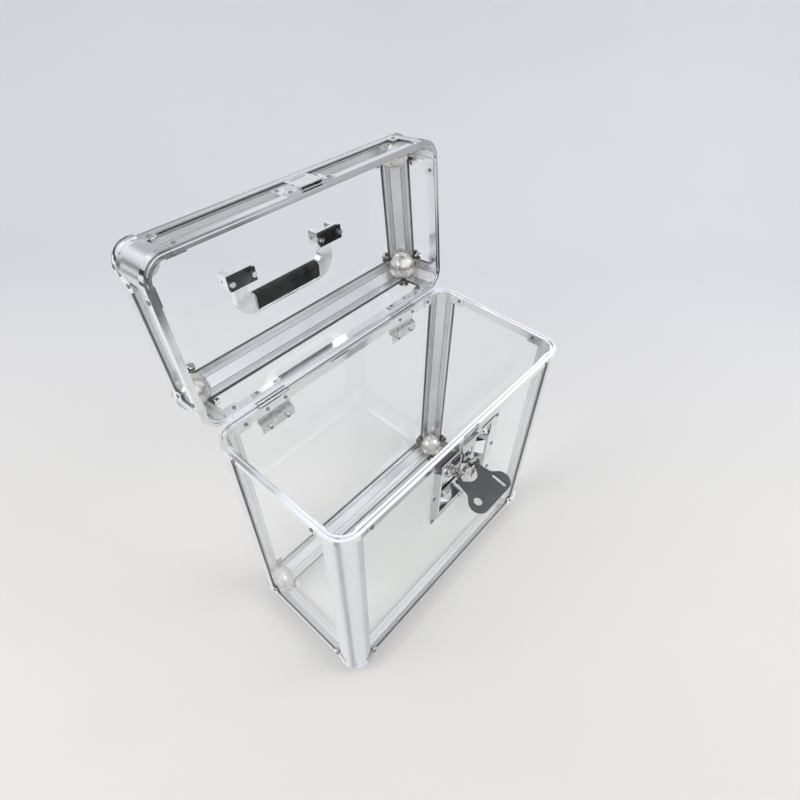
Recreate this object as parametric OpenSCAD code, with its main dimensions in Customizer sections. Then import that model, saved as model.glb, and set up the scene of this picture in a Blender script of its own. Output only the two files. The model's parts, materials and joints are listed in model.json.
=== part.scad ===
// Clear donation box: an aluminium-framed acrylic case with a hinged lid,
// a recessed twist latch on the front and a drop handle on the lid.
// Origin: centre of the base, on the surface the box stands on.
// +X to the right, -Y to the front (latch side), +Z up. Millimetres.

/* [Box] */
// Length over the frame, left to right
box_l = 364; // [300:2:440]
// Width over the frame, front to back
box_w = 184; // [160:2:260]
// Height of the body, from the standing surface to the parting line
body_h = 324; // [240:2:420]
// Depth of the lid, from the parting line to its top face
lid_h = 68; // [60:1:110]
// Angle of the open lid on its hinges
lid_open = 96.5; // [90:0.5:96.5]

/* [Panels] */
// Thickness of the clear panels
panel_t = 3; // [2.5:0.5:5]
// Play between a panel and its groove, each side
panel_play = 0.1; // [0.05:0.05:0.2]

/* [Frame extrusions] */
// Width of an extrusion's leg, measured from the corner
leg = 26; // [24:1:32]
// Outside corner radius of an extrusion
edge_r = 20; // [14:1:22]
// Thickness of the outer skin, outside the panel
skin = 1.2; // [1:0.1:2]
// Thickness of the inner flange, inside the panel
flange = 1.1; // [0.9:0.1:2]
// Depth from the outside at which a panel's edge stops
panel_stop = 15.8; // [13:0.1:18]
// Width of the sloping band in the inside corner, along each leg
band = 9; // [6:0.5:12]

/* [Corners] */
// Radius of the outer ball cap
cap_r = 23.4; // [23.3:0.1:24]
// Distance of the cap's centre from each face
cap_c = 21; // [20.5:0.1:21]
// How far the cap's small flats stand out from the frame; the box stands on four of them
foot = 2.2; // [2.1:0.1:2.3]
// Distance from each face at which the cap ends and the extrusions begin
cap_end = 24; // [24:0.1:25]
// Radius of the ball in the inside corner
ball_r = 18.5; // [17:0.5:19]
// Distance of that ball's centre from each face
ball_c = 18.5; // [18:0.1:20]
// Distance of the cap's rivets past the extrusions' legs
ear_pos = 5; // [4:0.5:8]
// Radius of the ear around each of those rivets
ear_r = 6.5; // [5:0.5:8]
// Thickness of the ears
ear_t = 1; // [0.8:0.1:1.2]

/* [Rims] */
// How far the rim stands out past the frame
rim_proud = 1.5; // [1.3:0.1:1.5]
// Thickness of the rim's top band
rim_web = 3; // [2.5:0.1:4]
// Height of the rim's outer flange
rim_out_h = 8; // [7.5:0.5:12]
// Height of the rim's inner flange
rim_in_h = 10.5; // [8:0.5:14]
// Thickness of the rim's inner flange
rim_in_t = 1; // [0.8:0.1:2]
// Outside radius of the rim's corner piece, seen from above
rim_r = 24.5; // [22:0.5:26]
// Distance past the legs at which the corner piece meets the straight rims
rim_seam = 4; // [2:1:8]
// Distance of the rim corner's rivets past the legs
rim_rivet = 10; // [8:1:18]
// Width of the groove in the body's rim
groove_w = 2.4; // [2:0.1:2.8]
// Depth of that groove
groove_d = 1.6; // [1:0.1:2]
// Distance of the groove's middle from the frame's outer face
groove_c = 2; // [1.8:0.1:2.5]
// Play at each side and at the end of the lid's tongue
tongue_play = 0.5; // [0.4:0.1:0.7]

/* [Rivets] */
// Radius of a rivet's shank
rivet_r = 1.6; // [1.2:0.1:2]
// Radius of a rivet's head
rivet_head_r = 2.5; // [2.2:0.1:2.7]
// Height of a rivet's head
rivet_head_h = 0.9; // [0.6:0.1:1.1]
// Play around a rivet's shank in its hole
rivet_play = 0.1; // [0.05:0.05:0.2]

/* [Hinges] */
// Distance of each hinge from the middle of the box
hinge_x = 105; // [80:1:110]
// Width of a hinge leaf
hinge_w = 45; // [40:1:50]
// Thickness of the leaf's sheet
hinge_t = 1.1; // [0.9:0.1:1.3]
// Distance of the hinge axis behind the frame
hinge_out = 2.7; // [2.6:0.1:3]
// Radius of the knuckles
knuckle_r = 2.2; // [2:0.1:2.3]
// Length of the three knuckles together
knuckle_l = 37; // [30:1:40]
// Length of the lid's middle knuckle
knuckle_mid = 14; // [10:1:16]
// Radius of the hinge pin
hinge_pin_r = 1; // [0.8:0.1:1.2]
// Height of the body leaf, from the parting line to its lower edge
leaf_h = 41; // [36:1:50]
// How far the leaf's formed channel stands out from the rim
channel_out = 4.6; // [3:0.2:8]
// Spacing of the two rivets in a row
hinge_rivets = 24; // [20:1:30]

/* [Latch] */
// Width of the latch plate
latch_w = 113; // [108:1:124]
// Height of the latch plate
latch_h = 104; // [100:1:110]
// Distance of the plate's top edge below the parting line
latch_top = 11; // [10.5:0.5:16]
// Thickness of the plate's sheet
latch_t = 1.2; // [1:0.1:1.5]
// Half width of the dish at the front
dish_hw = 42; // [40:1:44]
// Height of the dish at the front
dish_h = 84; // [80:1:88]
// Depth of the dish
dish_d = 14; // [13:0.5:18]
// How far the dish's walls lean in
dish_lean = 6; // [3:0.5:8]
// Distance of the hub's axis below the parting line
hub_down = 68; // [66:0.5:70]
// Radius of the hub's barrel
barrel_r = 7.5; // [6:0.5:7.5]
// Radius of the hub's base disc
disc_r = 15; // [14.5:0.5:17]
// Width of the hook
hook_w = 24; // [18:1:24]
// Thickness of the hook's sheet
hook_t = 1.4; // [1:0.1:1.6]

/* [Wing key] */
// Distance of the key's pivot in front of the frame
wing_out = 4; // [4:0.5:8]
// Length of the key, from its pivot to its outer edge
wing_l = 44; // [36:1:45]
// Distance between the centres of the two lobes
wing_lobes = 38; // [30:1:40]
// Radius of each lobe
lobe_r = 12; // [10:0.5:13]
// Thickness of the key
wing_t = 2.5; // [2:0.1:2.5]
// Radius of the round hole in the left lobe
wing_hole_r = 5; // [4:0.5:6]
// Length of the slot in the right lobe
wing_slot_l = 19; // [14:1:20]
// Width of that slot
wing_slot_w = 5; // [3:0.5:5]
// Angle by which the key droops below the horizontal
wing_droop = 11; // [0:1:20]

/* [Keeper] */
// Width of the keeper on the lid
keeper_w = 58; // [54:1:70]
// Height of its upper edge above the parting line
keeper_top = 31; // [30:0.5:34]
// Thickness of its sheet
keeper_t = 1.2; // [1:0.1:1.5]
// How far the bridge stands out in front of the frame
bridge_out = 5; // [5:0.5:9]

/* [Handle] */
// Distance between the centres of the two brackets
bracket_gap = 124.6; // [110:0.2:160]
// Distance of the handle's middle from the lid's middle, to the left when negative
handle_x = -2.5; // [-10:0.5:10]
// Width of a bracket
bracket_w = 34; // [32:1:40]
// Depth of a bracket, front to back on the closed lid
bracket_d = 17; // [14:1:22]
// Distance of the handle's pivot outside the lid
pivot_out = 9; // [8.5:0.5:12]
// Distance of the handle's pivot in front of the lid's middle
pivot_fwd = 6; // [0:1:20]
// Width of the handle's arms
arm_w = 16; // [12:1:18]
// Thickness of the handle's arms
arm_t = 9; // [7:0.5:10]
// Drop of the handle, from its pivot to its lower edge
handle_drop = 54; // [46:1:58]
// Height of the grip
grip_h = 21; // [14:1:24]
// Thickness of the grip
grip_t = 13; // [11:0.5:14]
// Thickness of the bright strip below the grip
strip_t = 3; // [2:0.5:4]
// Outside radius of the handle's bends
bend_r = 25; // [20:1:28]
// Radius of the handle's pivot pins
handle_pin_r = 1.5; // [1.2:0.1:2]

/* [Hidden] */
$fn = 48;

// Small gaps between neighbouring pieces
seam = 0.1;
move_gap = 0.3;
run_gap = 0.05;

// Section of an extrusion
groove_in = skin + panel_t + 2 * panel_play;
wall_in = groove_in + flange;
panel_out = skin + panel_play;
panel_back = panel_out + panel_t;
rim_in = groove_in + rim_in_t;
rim_c = rim_r - rim_proud;

// Height of the body's frame, without the part of the caps below it
tray_h = body_h - foot;

// Places on the outside of the box
front_y = -box_w / 2;
back_y = box_w / 2;
hinge_y = back_y + hinge_out;
ear_at = leg + ear_pos;
rim_seam_at = leg + rim_seam;
rim_rivet_at = leg + rim_rivet;
rim_rivet_down = (rim_web + rim_out_h) / 2;
tab_far = rim_rivet_at + 6;
rivet_hole = rivet_r + rivet_play;
hinge_low = leaf_h - 5;
leaf_rivet_down = rim_rivet_down;

// Latch, measured down from the parting line and out from the dish's floor
latch_z = body_h - latch_top;
dish_top = body_h - latch_top - (latch_h - dish_h) + 9;
dish_z = [dish_top - dish_h, dish_top];
plate_y = front_y + panel_out - latch_t - 0.05;
dish_y = plate_y + dish_d;
hub_z = body_h - hub_down;
wing_y = front_y - wing_out;
latch_rivet_x = latch_w / 2 - 4.5;
latch_rivet_z = [latch_z - 8, latch_z - latch_h / 2 - 4, latch_z - latch_h + 5];
lug_in = barrel_r - 0.5;
lug_out = 12;
ear_in = lug_out + move_gap;
ear_out = 18;
wing_pin_r = 1.2;
hook_y = plate_y - move_gap - hook_t;
hook_top = body_h - latch_top - 1;
hook_low = hub_z + 14;
notch_w = hook_w + 2;

// Keeper and handle
bridge_in = notch_w / 2;
bridge_hw = bridge_in + keeper_t;
pivot_y0 = -pivot_fwd;
pivot_z0 = lid_h + pivot_out;
pivot_y = hinge_y + cos(lid_open) * (pivot_y0 - hinge_y) + sin(lid_open) * pivot_z0;
pivot_z = body_h - sin(lid_open) * (pivot_y0 - hinge_y) + cos(lid_open) * pivot_z0;
bracket_top = pivot_out + arm_t / 2 + 1;
screw_x = bracket_w / 2 - 3.2;
screw_r = 2;
grip_l = bracket_gap - arm_w - 15.8;

// ---- placing -------------------------------------------------------------

// The body's frame, standing on its caps
module in_body() translate([0, 0, foot]) children();

// Turns the closed lid about the hinge axis to its open rest
module opened() {
  translate([0, hinge_y, body_h]) rotate([-lid_open, 0, 0])
    translate([0, -hinge_y, -body_h]) children();
}

// The lid's frame: the same tray upside down, then opened
module in_lid() opened() translate([0, 0, body_h + lid_h]) mirror([0, 0, 1]) children();

// A corner of the tray, with x, y and z running inward from it
module corner_at(sx, sy) {
  translate([sx * box_l / 2, sy * box_w / 2, 0])
    mirror([sx > 0 ? 1 : 0, 0, 0]) mirror([0, sy > 0 ? 1 : 0, 0]) children();
}

module each_corner() for (sx = [-1, 1], sy = [-1, 1]) corner_at(sx, sy) children();

// Both sides of the middle
module both_x(d) for (s = [-1, 1]) translate([s * d, 0, 0]) children();

// ---- rivets --------------------------------------------------------------

// A rivet along +Z: its head below z = 0 and its tail past z = grip
module rivet(grip) {
  rotate_extrude() polygon([
    [0, -rivet_head_h], [rivet_head_r * 0.7, -rivet_head_h], [rivet_head_r, -0.25],
    [rivet_head_r, 0], [rivet_r, 0], [rivet_r, grip],
    [rivet_head_r - 0.4, grip], [rivet_head_r - 0.4, grip + 0.8], [0, grip + 0.8]
  ]);
}

module rivet_bore(grip) translate([0, 0, -3]) cylinder(r = rivet_hole, h = grip + 6);

// Where the rivets of one tray go: three through each cap, two through each rim corner
module at_ear_rivets() {
  each_corner() {
    translate([ear_at, ear_at, -ear_t - seam]) children();
    translate([ear_at, -ear_t - seam, ear_at]) rotate([-90, 0, 0]) children();
    translate([-ear_t - seam, ear_at, ear_at]) rotate([0, 90, 0]) children();
  }
}

module at_rim_rivets(h) {
  each_corner() {
    translate([rim_rivet_at, -rim_proud, h - rim_rivet_down]) rotate([-90, 0, 0]) children();
    translate([-rim_proud, rim_rivet_at, h - rim_rivet_down]) rotate([0, 90, 0]) children();
  }
}

ear_grip = ear_t + seam + panel_back + 0.05;
rim_grip = rim_proud + rim_in + 1.2 + 0.1;

module tray_bores(h) {
  at_ear_rivets() rivet_bore(ear_grip);
  at_rim_rivets(h) rivet_bore(rim_grip);
}

module tray_rivets(h) {
  at_ear_rivets() rivet(ear_grip);
  at_rim_rivets(h) rivet(rim_grip);
}

// Rivets of the hinges, on the back wall: from the leaf's outer face inward
leaf_face = hinge_out;
low_face = -panel_out + hinge_t + 0.05;
upper_grip = leaf_face + rim_in + 0.05;
lid_grip = leaf_face + rim_in + 1.1 + 0.1;
lower_grip = low_face + panel_back + 0.05;

module at_back(x, out, z) {
  for (s = [-1, 1], t = [-1, 1])
    translate([s * hinge_x + t * x, back_y + out, z]) rotate([90, 0, 0]) children();
}

// Rivets of the latch plate, from its front face inward
latch_grip = latch_t + 0.05 + panel_t + 0.05;

module at_latch_rivets() {
  for (s = [-1, 1], z = latch_rivet_z)
    translate([s * latch_rivet_x, plate_y, z]) rotate([-90, 0, 0]) children();
}

// Rivets of the keeper on the closed lid
keeper_low_y = front_y - rim_proud - seam - keeper_t;
keeper_low_grip = rim_proud + seam + keeper_t + rim_in + 0.05;

module at_keeper_high() {
  for (s = [-1, 1])
    translate([s * (keeper_w / 2 - 4.5), plate_y, body_h + keeper_top - 4.5])
      rotate([-90, 0, 0]) children();
}

module at_keeper_low() {
  for (s = [-1, 1])
    translate([s * (keeper_w / 2 - 5), keeper_low_y, body_h + rim_rivet_down])
      rotate([-90, 0, 0]) children();
}

// ---- frame ---------------------------------------------------------------

// Extrusion section: quarter-round outside, two panel grooves, sloping band inside
module edge_section() {
  difference() {
    square(leg);
    difference() {
      square(edge_r);
      translate([edge_r, edge_r]) circle(edge_r);
    }
    polygon([
      [wall_in + band, wall_in], [leg + 1, wall_in], [leg + 1, leg + 1],
      [wall_in, leg + 1], [wall_in, wall_in + band]
    ]);
    translate([panel_stop - 0.3, skin]) square([leg, groove_in - skin]);
    translate([skin, panel_stop - 0.3]) square([groove_in - skin, leg]);
  }
}

// The ball in the inside corner, flat where it sits on the walls; grow is added all round
module corner_ball(grow) {
  intersection() {
    translate([ball_c, ball_c, ball_c]) sphere(ball_r + grow);
    translate([wall_in - grow, wall_in - grow, wall_in - grow]) cube(2 * ball_r + 2);
  }
}

ball_play = 0.25;

module ball_room() corner_ball(ball_play);

// Wedges that mitre both legs of an extrusion that runs up from a corner
module leg_mitre() {
  translate([0, leg + 1, 0]) rotate([90, 0, 0]) linear_extrude(leg + 2) polygon([
    [cap_end, cap_end + seam], [leg + 1, leg + 1 + seam], [leg + 1, cap_end - 1], [cap_end, cap_end - 1]
  ]);
}

module leg_mitres() {
  leg_mitre();
  mirror([1, -1, 0]) leg_mitre();
}

module post(sx, sy, h) {
  corner_at(sx, sy) difference() {
    translate([0, 0, cap_end + seam])
      linear_extrude(h - cap_end - rim_web - 2 * seam) edge_section();
    ball_room();
    leg_mitres();
  }
}

module x_end_room() {
  ball_room();
  mirror([1, 0, -1]) leg_mitres();
}

module y_end_room() {
  ball_room();
  mirror([0, 1, -1]) leg_mitres();
}

module edge_x(sy) {
  corner_at(-1, sy) difference() {
    translate([cap_end + seam, 0, 0]) rotate([90, 0, 90])
      linear_extrude(box_l - 2 * (cap_end + seam)) edge_section();
    x_end_room();
    translate([box_l, 0, 0]) mirror([1, 0, 0]) x_end_room();
  }
}

module edge_y(sx) {
  corner_at(sx, -1) difference() {
    translate([0, box_w - cap_end - seam, 0]) rotate([90, 0, 0])
      linear_extrude(box_w - 2 * (cap_end + seam)) edge_section();
    y_end_room();
    translate([0, box_w, 0]) mirror([0, 1, 0]) y_end_room();
  }
}

// Panels, cut away where the corner caps and balls are
module corner_room() {
  each_corner() {
    translate([-2, -2, -2]) cube(cap_end + seam + 2);
    ball_room();
  }
}

module wall_x(sy, h) {
  difference() {
    translate([panel_stop - box_l / 2, sy * (box_w / 2 - panel_out - panel_t / 2) - panel_t / 2, panel_stop])
      cube([box_l - 2 * panel_stop, panel_t, h - panel_stop - rim_web - seam]);
    corner_room();
    tray_bores(h);
  }
}

module wall_y(sx, h) {
  difference() {
    translate([sx * (box_l / 2 - panel_out - panel_t / 2) - panel_t / 2, panel_stop - box_w / 2, panel_stop])
      cube([panel_t, box_w - 2 * panel_stop, h - panel_stop - rim_web - seam]);
    corner_room();
    tray_bores(h);
  }
}

module end_panel(h) {
  difference() {
    translate([panel_stop - box_l / 2, panel_stop - box_w / 2, panel_out])
      cube([box_l - 2 * panel_stop, box_w - 2 * panel_stop, panel_t]);
    corner_room();
    tray_bores(h);
  }
}

// ---- corners -------------------------------------------------------------

module ear() {
  translate([ear_at, ear_at]) circle(ear_r);
  polygon([
    [cap_c - 2.6, cap_c + 2.6], [cap_c + 2.6, cap_c - 2.6],
    [ear_at + ear_r * 0.7, ear_at - ear_r * 0.7],
    [ear_at - ear_r * 0.7, ear_at + ear_r * 0.7]
  ]);
}

module ear_plate() translate([0, 0, -ear_t - seam]) linear_extrude(ear_t) ear();

module corner_cap() {
  difference() {
    union() {
      intersection() {
        translate([cap_c, cap_c, cap_c]) sphere(cap_r);
        translate([-foot, -foot, -foot]) cube(cap_end + foot);
      }
      ear_plate();
      mirror([0, 1, 0]) rotate([90, 0, 0]) ear_plate();
      mirror([1, 0, 0]) rotate([0, -90, 0]) ear_plate();
    }
    translate([wall_in - ball_play, wall_in - ball_play, wall_in - ball_play]) cube(cap_end);
    translate([ear_at, ear_at, -foot - 1]) cylinder(r = rivet_hole, h = 5);
    translate([ear_at, -foot - 1, ear_at]) rotate([-90, 0, 0]) cylinder(r = rivet_hole, h = 5);
    translate([-foot - 1, ear_at, ear_at]) rotate([0, 90, 0]) cylinder(r = rivet_hole, h = 5);
  }
}

module caps() each_corner() corner_cap();

module balls() each_corner() corner_ball(0);

// ---- rims ----------------------------------------------------------------

// Rim section: x inward from the frame's outer face, y up, 0 at the parting line
module rim_section(tongue) {
  difference() {
    polygon([
      [-rim_proud, 0], [-rim_proud, -rim_out_h], [-seam, -rim_out_h], [-seam, -rim_web],
      [groove_in, -rim_web], [groove_in, -rim_in_h], [rim_in, -rim_in_h], [rim_in, 0]
    ]);
    if (!tongue)
      translate([groove_c - groove_w / 2, -groove_d]) square([groove_w, groove_d + 1]);
  }
  if (tongue)
    translate([groove_c - groove_w / 2 + tongue_play, -0.5])
      square([groove_w - 2 * tongue_play, groove_d - tongue_play + 0.5]);
}

module rim_x(sy, h, tongue) {
  difference() {
    corner_at(-1, sy) translate([rim_seam_at, 0, h]) rotate([90, 0, 90])
      linear_extrude(box_l - 2 * rim_seam_at) rim_section(tongue);
    tray_bores(h);
  }
}

module rim_y(sx, h, tongue) {
  difference() {
    corner_at(sx, -1) translate([0, box_w - rim_seam_at, h]) rotate([90, 0, 0])
      linear_extrude(box_w - 2 * rim_seam_at) rim_section(tongue);
    tray_bores(h);
  }
}

// Everything inside a line that runs a millimetres inside the frame's outer face
module inside_line(a, r, size) {
  difference() {
    translate([a, a]) square(size - a);
    difference() {
      translate([a, a]) square(r - a);
      translate([r, r]) circle(r - a);
    }
  }
}

module rim_corner(h, tongue) {
  reach = rim_seam_at - seam;
  translate([0, 0, h]) difference() {
    union() {
      translate([0, 0, -rim_web]) linear_extrude(rim_web) difference() {
        inside_line(-rim_proud, rim_c, reach);
        inside_line(rim_in, rim_c, 2 * rim_seam_at);
      }
      translate([0, 0, -rim_out_h]) linear_extrude(rim_out_h) difference() {
        inside_line(-rim_proud, rim_c, reach);
        inside_line(-seam, edge_r, 2 * rim_seam_at);
      }
      if (tongue)
        translate([0, 0, -0.5]) linear_extrude(groove_d - tongue_play + 0.5) difference() {
          inside_line(groove_c - groove_w / 2 + tongue_play, rim_c, reach);
          inside_line(groove_c + groove_w / 2 - tongue_play, rim_c, 2 * rim_seam_at);
        }
      rim_tab();
      mirror([1, -1, 0]) rim_tab();
    }
    if (!tongue)
      translate([0, 0, -groove_d]) linear_extrude(groove_d + 1) difference() {
        inside_line(groove_c - groove_w / 2, rim_c, 2 * rim_seam_at);
        inside_line(groove_c + groove_w / 2, rim_c, 3 * rim_seam_at);
      }
    translate([rim_rivet_at, 0, -rim_rivet_down]) rotate([-90, 0, 0]) cylinder(r = rivet_hole, h = 12);
    translate([0, rim_rivet_at, -rim_rivet_down]) rotate([0, 90, 0]) cylinder(r = rivet_hole, h = 12);
  }
}

// Riveted tab on the inside of the straight rim
module rim_tab() {
  translate([rim_c, rim_in + seam, -rim_in_h - 2]) cube([tab_far - rim_c, 1.1, rim_in_h + 2]);
  translate([rim_c, rim_in - 0.4, -rim_web]) cube([rim_seam_at - seam - rim_c, 1, rim_web]);
}

module rim_corners(h, tongue) each_corner() rim_corner(h, tongue);

// Room for the knuckles in the back rims and for the hook in the front rims
module knuckle_notch() {
  for (s = [-1, 1])
    translate([s * hinge_x - knuckle_l / 2 - 0.7, back_y + 0.2, body_h - 3.2])
      cube([knuckle_l + 1.4, rim_proud + 1, 6.4]);
}

module hook_notch(w, up) {
  translate([-w / 2, front_y - rim_proud - 1, body_h - rim_out_h - 1 + up])
    cube([w, rim_proud + 1.2, rim_out_h + 2]);
}

module hinge_bores() {
  at_back(hinge_rivets / 2, leaf_face, body_h - leaf_rivet_down) rivet_bore(upper_grip);
  at_back(hinge_rivets / 2, leaf_face, body_h + leaf_rivet_down) rivet_bore(lid_grip);
  at_back(hinge_rivets / 2, low_face, body_h - hinge_low) rivet_bore(lower_grip);
}

// ---- the body's pieces ----------------------------------------------------

module front_panel() {
  color([0.9, 0.93, 0.94, 0.3]) difference() {
    in_body() wall_x(-1, tray_h);
    translate([-dish_hw - 0.4, front_y - 1, dish_z[0] - 0.4])
      cube([2 * dish_hw + 0.8, 12, dish_h + 0.8]);
    at_latch_rivets() rivet_bore(latch_grip);
  }
}

module back_panel() {
  color([0.9, 0.93, 0.94, 0.3]) difference() {
    in_body() wall_x(1, tray_h);
    hinge_bores();
  }
}

module left_panel() color([0.9, 0.93, 0.94, 0.3]) in_body() wall_y(-1, tray_h);
module right_panel() color([0.9, 0.93, 0.94, 0.3]) in_body() wall_y(1, tray_h);
module base_panel() color([0.9, 0.93, 0.94, 0.3]) in_body() end_panel(tray_h);

module post_front_left() color([0.76, 0.77, 0.77]) in_body() post(-1, -1, tray_h);
module post_front_right() color([0.76, 0.77, 0.77]) in_body() post(1, -1, tray_h);
module post_back_left() color([0.76, 0.77, 0.77]) in_body() post(-1, 1, tray_h);
module post_back_right() color([0.76, 0.77, 0.77]) in_body() post(1, 1, tray_h);

module base_edge_front() color([0.76, 0.77, 0.77]) in_body() edge_x(-1);
module base_edge_back() color([0.76, 0.77, 0.77]) in_body() edge_x(1);
module base_edge_left() color([0.76, 0.77, 0.77]) in_body() edge_y(-1);
module base_edge_right() color([0.76, 0.77, 0.77]) in_body() edge_y(1);

module base_corner_caps() color([0.85, 0.86, 0.88]) in_body() caps();
module base_corner_balls() color([0.8, 0.78, 0.74]) in_body() balls();

module body_rim_front() {
  color([0.82, 0.83, 0.84]) difference() {
    in_body() rim_x(-1, tray_h, false);
    hook_notch(notch_w, 0);
  }
}

module body_rim_back() {
  color([0.82, 0.83, 0.84]) difference() {
    in_body() rim_x(1, tray_h, false);
    knuckle_notch();
    hinge_bores();
  }
}

module body_rim_left() color([0.82, 0.83, 0.84]) in_body() rim_y(-1, tray_h, false);
module body_rim_right() color([0.82, 0.83, 0.84]) in_body() rim_y(1, tray_h, false);
module body_rim_corners() color([0.87, 0.88, 0.9]) in_body() rim_corners(tray_h, false);

module body_rivets() {
  color([0.6, 0.6, 0.6]) {
    in_body() tray_rivets(tray_h);
    at_back(hinge_rivets / 2, leaf_face, body_h - leaf_rivet_down) rivet(upper_grip);
    at_back(hinge_rivets / 2, low_face, body_h - hinge_low) rivet(lower_grip);
    at_latch_rivets() rivet(latch_grip);
  }
}

// ---- hinges ---------------------------------------------------------------

module knuckle(x0, x1) {
  translate([x0, hinge_y, body_h]) rotate([0, 90, 0]) cylinder(r = knuckle_r, h = x1 - x0);
}

module knuckle_bore() {
  translate([-hinge_w, hinge_y, body_h]) rotate([0, 90, 0])
    cylinder(r = hinge_pin_r + run_gap, h = 2 * hinge_w);
}

// Body leaf: flange on the rim, a channel that stands out, flange on the panel
module body_leaf() {
  f0 = back_y + leaf_face - hinge_t;
  f1 = back_y + leaf_face;
  c1 = back_y + rim_proud + channel_out;
  g0 = back_y - panel_out + 0.05;
  g1 = g0 + hinge_t;
  half = knuckle_l / 2;
  mid = knuckle_mid / 2 + move_gap;
  difference() {
    union() {
      translate([-hinge_w / 2, 0, body_h]) rotate([90, 0, 90]) linear_extrude(hinge_w) polygon([
        [f0, -knuckle_r - move_gap], [f1, -knuckle_r - move_gap],
        [f1, -rim_out_h - 0.3], [c1, -rim_out_h - 2.7],
        [c1, -leaf_h + 13.5], [g1, -leaf_h + 10.5],
        [g1, -leaf_h], [g0, -leaf_h], [g0, -leaf_h + 11.3],
        [c1 - hinge_t, -leaf_h + 14.3], [c1 - hinge_t, -rim_out_h - 3.5], [f0, -rim_out_h - 1]
      ]);
      for (s = [-1, 1]) {
        x0 = s > 0 ? mid : -half;
        knuckle(x0, x0 + half - mid);
        translate([x0, f0, body_h - knuckle_r - move_gap - 0.5])
          cube([half - mid, hinge_t, knuckle_r + move_gap - 0.3]);
      }
    }
    knuckle_bore();
  }
}

// Lid leaf: flange on the lid's rim and the middle knuckle
module lid_leaf() {
  f0 = back_y + leaf_face - hinge_t;
  low = knuckle_r + move_gap;
  difference() {
    union() {
      translate([-hinge_w / 2, f0, body_h + low]) cube([hinge_w, hinge_t, rim_out_h + 0.3 - low]);
      knuckle(-knuckle_mid / 2, knuckle_mid / 2);
      translate([-knuckle_mid / 2, f0, body_h]) cube([knuckle_mid, hinge_t, low + 0.5]);
    }
    knuckle_bore();
  }
}

module hinge_body_leaves() {
  color([0.72, 0.71, 0.69]) difference() {
    both_x(hinge_x) body_leaf();
    hinge_bores();
  }
}

module hinge_lid_leaves() {
  color([0.72, 0.71, 0.69]) opened() difference() {
    both_x(hinge_x) lid_leaf();
    hinge_bores();
  }
}

module hinge_backing_plates() {
  color([0.76, 0.77, 0.78]) opened() difference() {
    both_x(hinge_x)
      translate([-18, back_y - rim_in - seam - 1.1, body_h + 1.5]) cube([36, 1.1, rim_out_h - 0.5]);
    hinge_bores();
  }
}

module hinge_pins() {
  color([0.5, 0.5, 0.5]) both_x(hinge_x)
    translate([-knuckle_l / 2 - 0.4, hinge_y, body_h]) rotate([0, 90, 0])
      cylinder(r = hinge_pin_r, h = knuckle_l + 0.8);
}

// ---- latch ----------------------------------------------------------------

// Rectangle with rounded corners, centred
module round_rect(w, h, r) {
  square([w - 2 * r, h], center = true);
  square([w, h - 2 * r], center = true);
  for (sx = [-1, 1], sy = [-1, 1]) translate([sx * (w / 2 - r), sy * (h / 2 - r)]) circle(r);
}

// A tapering block that fills the dish; grow is added to each side
module dish_block(grow, y0, y1) {
  w = dish_hw + grow;
  z0 = dish_z[0] - grow;
  z1 = dish_z[1] + grow;
  hull() {
    translate([-w, y0, z0]) cube([2 * w, 0.01, z1 - z0]);
    translate([-w + dish_lean, y1 - 0.01, z0 + dish_lean])
      cube([2 * (w - dish_lean), 0.01, z1 - z0 - 2 * dish_lean]);
  }
}

module latch_plate() {
  color([0.86, 0.87, 0.88]) difference() {
    union() {
      translate([0, plate_y + latch_t, latch_z - latch_h / 2]) rotate([90, 0, 0])
        linear_extrude(latch_t) round_rect(latch_w, latch_h, 6);
      dish_block(0, plate_y + 0.2, dish_y + latch_t);
    }
    dish_block(-latch_t, plate_y - 0.5, dish_y);
    translate([0, plate_y + 0.01, 0]) mirror([0, 1, 0])
      translate([-dish_hw + latch_t, 0, dish_z[0] + latch_t])
        cube([2 * (dish_hw - latch_t), 2, dish_h - 2 * latch_t]);
    for (s = [-1, 1])
      translate([s * 35, plate_y + latch_t + 1, latch_z - 5.4]) rotate([90, 0, 0])
        linear_extrude(latch_t + 2) round_rect(26, 3.4, 1.6);
    at_latch_rivets() rivet_bore(latch_grip);
  }
}

// Small ring below the dish
module padlock_ring() {
  color([0.86, 0.87, 0.88])
    translate([0, plate_y - 1.2, latch_z - latch_h + 3]) rotate([90, 0, 0])
      rotate_extrude() translate([4.4, 0]) circle(1.1);
}

// Hub: base disc, ring, barrel and the two lugs that carry the wing key
module latch_hub() {
  tip = dish_y - wing_y + 1.5;
  color([0.74, 0.71, 0.62]) translate([0, dish_y, hub_z]) difference() {
    union() {
      rotate([90, 0, 0]) {
        translate([0, 0, move_gap]) cylinder(r = disc_r, h = 3);
        cylinder(r = disc_r - 4, h = 6.5);
        cylinder(r = barrel_r, h = tip);
      }
      for (s = [-1, 1]) {
        translate([s > 0 ? lug_in : -lug_out, wing_y - dish_y, -2.4])
          cube([lug_out - lug_in, dish_y - wing_y - 5, 4.8]);
        translate([s > 0 ? lug_in : -lug_out, wing_y - dish_y, 0]) rotate([0, 90, 0])
          cylinder(r = 2.4, h = lug_out - lug_in);
      }
    }
    translate([-30, wing_y - dish_y, 0]) rotate([0, 90, 0])
      cylinder(r = wing_pin_r + run_gap, h = 60);
    translate([-0.6, -tip - 1, -3.5]) cube([1.2, 2, 7]);
    translate([-30, -move_gap, -30]) cube([60, move_gap + 1, 60]);
  }
}

module wing_pin() {
  color([0.6, 0.6, 0.6]) translate([-ear_out - 0.4, wing_y, hub_z]) rotate([0, 90, 0])
    cylinder(r = wing_pin_r, h = 2 * ear_out + 0.8);
}

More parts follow.
